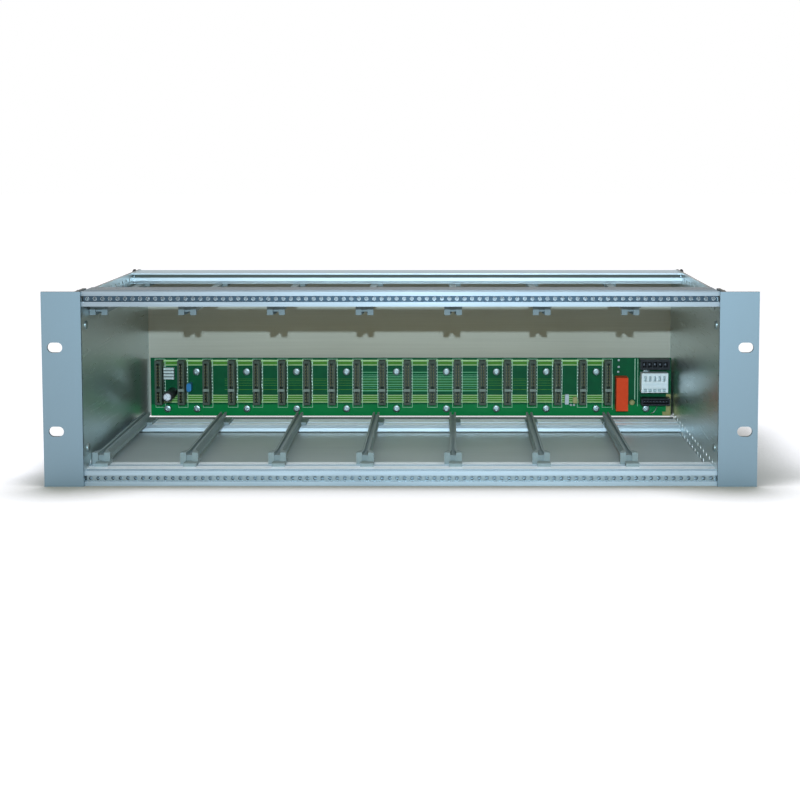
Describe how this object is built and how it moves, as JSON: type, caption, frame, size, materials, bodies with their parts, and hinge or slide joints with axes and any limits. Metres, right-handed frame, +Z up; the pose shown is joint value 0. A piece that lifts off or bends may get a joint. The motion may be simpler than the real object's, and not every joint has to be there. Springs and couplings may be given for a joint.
{
  "type": "subrack card cage",
  "caption": "Rack-mount card cage with side panels, rails, card guides, rack ears and a part-height backplane with slot connectors.",
  "frame": {"origin": "middle of the footprint at the base: half the width over the ears, half the depth, on the floor", "axes": "+X to the right seen from the front, +Y from the ears to the rear cover, +Z up"},
  "size_m": [0.4826, 0.235, 0.1326],
  "materials": {
    "panel_sheet": "bare sheet, brushed along its depth, clear passivated",
    "ear_anodised": "clear anodised, fine matt, faint blue-grey",
    "rail_anodised": "extruded and clear anodised, satin",
    "strip_steel": "zinc plated, drilled and threaded",
    "guide_plastic": "moulded glass-filled plastic, olive grey",
    "cover_sheet": "bare rolled sheet",
    "rear_sheet": "bare folded sheet, matt",
    "board_laminate": "green solder resist over glass-epoxy laminate",
    "connector_plastic": "moulded grey-brown plastic",
    "can_sleeve": "black sleeve over an aluminium can",
    "film_blue": "blue dipped coating",
    "resistor_ceramic": "pale moulded bodies",
    "relay_orange": "orange-red moulded case",
    "terminal_white": "white moulded polyamide",
    "socket_black": "black moulded plastic",
    "standoff_brass": "nickel-plated hexagonal brass",
    "screw_zinc": "bright zinc-plated steel",
    "screw_black": "black oxide steel"
  },
  "bodies": {
    "root": {"side_panel_left": "panel_sheet", "side_panel_right": "panel_sheet", "rack_ear_left": "ear_anodised", "rack_ear_right": "ear_anodised", "rail_front_bottom": "rail_anodised", "rail_front_top": "rail_anodised", "rail_rear_bottom": "rail_anodised", "rail_rear_top": "rail_anodised", "hole_strip_bottom": "strip_steel", "hole_strip_top": "strip_steel", "card_guide_bottom_1": "guide_plastic", "card_guide_bottom_2": "guide_plastic", "card_guide_bottom_3": "guide_plastic", "card_guide_bottom_4": "guide_plastic", "card_guide_bottom_5": "guide_plastic", "card_guide_bottom_6": "guide_plastic", "card_guide_bottom_7": "guide_plastic", "card_guide_top_1": "guide_plastic", "card_guide_top_2": "guide_plastic", "card_guide_top_3": "guide_plastic", "card_guide_top_4": "guide_plastic", "card_guide_top_5": "guide_plastic", "card_guide_top_6": "guide_plastic", "card_guide_top_7": "guide_plastic", "bottom_cover": "cover_sheet", "rear_cover": "rear_sheet", "backplane_board": "board_laminate", "slot_connector_01": "connector_plastic", "slot_connector_02": "connector_plastic", "slot_connector_03": "connector_plastic", "slot_connector_04": "connector_plastic", "slot_connector_05": "connector_plastic", "slot_connector_06": "connector_plastic", "slot_connector_07": "connector_plastic", "slot_connector_08": "connector_plastic", "slot_connector_09": "connector_plastic", "slot_connector_10": "connector_plastic", "slot_connector_11": "connector_plastic", "slot_connector_12": "connector_plastic", "slot_connector_13": "connector_plastic", "slot_connector_14": "connector_plastic", "slot_connector_15": "connector_plastic", "slot_connector_16": "connector_plastic", "slot_connector_17": "connector_plastic", "slot_connector_18": "connector_plastic", "slot_connector_19": "connector_plastic", "can_capacitor": "can_sleeve", "film_capacitor": "film_blue", "resistor_array": "resistor_ceramic", "relay": "relay_orange", "terminal_block": "terminal_white", "power_socket": "socket_black", "signal_socket": "socket_black", "standoffs": "standoff_brass", "board_screws": "screw_zinc", "standoff_screws": "screw_zinc", "rail_screws": "screw_black", "ear_rivets": "screw_zinc", "cover_screws": "screw_zinc"}
  },
  "joints": []
}
